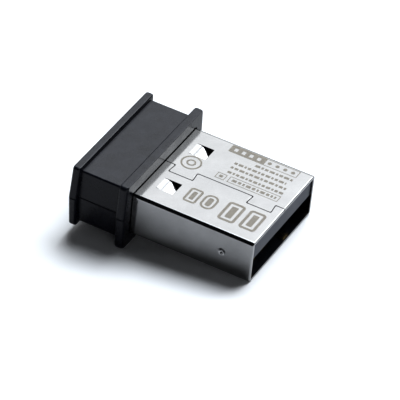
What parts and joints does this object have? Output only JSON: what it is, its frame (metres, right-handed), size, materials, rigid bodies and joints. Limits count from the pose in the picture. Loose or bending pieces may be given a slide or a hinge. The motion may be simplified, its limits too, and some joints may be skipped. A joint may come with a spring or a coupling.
{
  "type": "nano usb wireless adapter",
  "caption": "Nano wireless adapter: a folded steel USB-A plug in a short black two-part cap with two raised flanges.",
  "frame": {"origin": "under the middle of the bounding box, level with the lowest edge of the front flange", "axes": "+X the way the plug enters its port, +Z towards the seam side of the plug, +Y across the plug"},
  "size_m": [0.0182, 0.0148, 0.007],
  "materials": {
    "stainless_steel": "satin",
    "cap_plastic": "fine matte texture",
    "carrier_plastic": "satin",
    "gold_plating": "polished gold plate",
    "board_laminate": "green solder mask",
    "chip_resin": "matte",
    "white_ceramic": "matte",
    "tan_ceramic": "satin",
    "dark_ceramic": "satin"
  },
  "bodies": {
    "root": {"plug_shell": "stainless_steel", "upper_cover": "cap_plastic", "lower_cover": "cap_plastic", "contact_carrier": "carrier_plastic", "contact_vbus": "gold_plating", "contact_data_minus": "gold_plating", "contact_data_plus": "gold_plating", "contact_ground": "gold_plating", "circuit_board": "board_laminate", "radio_chip": "chip_resin", "voltage_regulator": "chip_resin", "esd_protection_chip": "chip_resin", "crystal_case": "white_ceramic", "crystal_lid": "stainless_steel", "chip_antenna": "white_ceramic", "bulk_capacitor": "tan_ceramic", "ferrite_bead": "dark_ceramic", "inductor_1": "dark_ceramic", "inductor_2": "dark_ceramic", "resistor_1": "dark_ceramic", "resistor_2": "dark_ceramic", "resistor_3": "dark_ceramic", "capacitor_1": "tan_ceramic", "capacitor_2": "tan_ceramic", "capacitor_3": "tan_ceramic", "capacitor_4": "tan_ceramic", "capacitor_5": "tan_ceramic", "capacitor_6": "tan_ceramic"}
  },
  "joints": []
}
